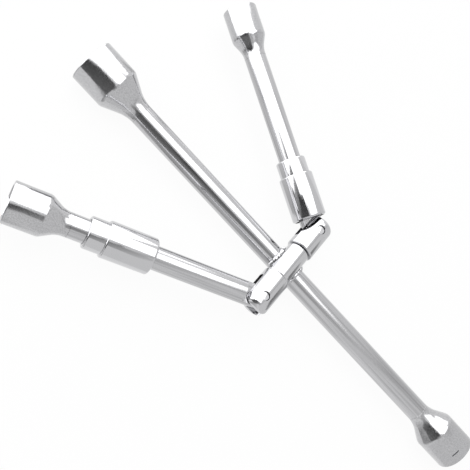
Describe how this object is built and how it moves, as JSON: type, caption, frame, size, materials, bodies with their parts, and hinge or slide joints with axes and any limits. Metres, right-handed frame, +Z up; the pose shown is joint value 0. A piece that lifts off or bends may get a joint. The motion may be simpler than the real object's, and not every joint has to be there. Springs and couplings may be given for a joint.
{
  "type": "folding cross lug wrench",
  "caption": "Cross-shaped wheel nut wrench: a straight bar with a hex socket at each end, a hub across it and two hinged socket arms, each with a sliding locking sleeve.",
  "frame": {"origin": "under the middle of the whole wrench, on the plane it lies on", "axes": "+X along the main bar towards the 21 mm socket, +Y along the hub towards the 17 mm arm's hinge, +Z up, along the hinge pins"},
  "size_m": [0.381, 0.2476, 0.0378],
  "materials": {
    "bar_chrome": "bright chrome plate on drawn bar",
    "socket_chrome": "bright chrome plate on forged steel",
    "hub_chrome": "bright chrome plate on turned and welded steel",
    "sleeve_chrome": "bright chrome plate on turned steel",
    "pin_steel": "bare turned steel, ends sunk in the fork",
    "spring_wire": "oiled spring wire"
  },
  "bodies": {
    "root": {"main_bar": "bar_chrome", "socket_23": "socket_chrome", "socket_21": "socket_chrome", "hub_block": "hub_chrome", "hub_weld_23_side": "hub_chrome", "hub_weld_21_side": "hub_chrome", "clevis_left": "hub_chrome", "clevis_right": "hub_chrome", "hinge_pin_left": "pin_steel", "hinge_pin_right": "pin_steel"},
    "left_arm": {"arm_left": "bar_chrome", "socket_19": "socket_chrome"},
    "right_arm": {"arm_right": "bar_chrome", "socket_17": "socket_chrome"},
    "left_sleeve": {"sleeve_left": "sleeve_chrome", "grip_ring_left": "spring_wire"},
    "right_sleeve": {"sleeve_right": "sleeve_chrome", "grip_ring_right": "spring_wire"}
  },
  "joints": [
    {"name": "fold_left", "type": "hinge", "parent": "root", "child": "left_arm", "pos_m": [0, -0.03537, 0.0241], "axis": [0, 0, -1], "range_deg": [-153.8, 26.2]},
    {"name": "fold_right", "type": "hinge", "parent": "root", "child": "right_arm", "pos_m": [0, 0.03163, 0.0241], "axis": [0, 0, 1], "range_deg": [-151.7, 28.3]},
    {"name": "slide_left", "type": "slide", "parent": "left_arm", "child": "left_sleeve", "axis": [-0.8973, -0.4415, 0], "range_m": [-0.0687, 0.0154]},
    {"name": "slide_right", "type": "slide", "parent": "right_arm", "child": "right_sleeve", "axis": [-0.8805, 0.4741, 0], "range_m": [0, 0.0841]}
  ]
}
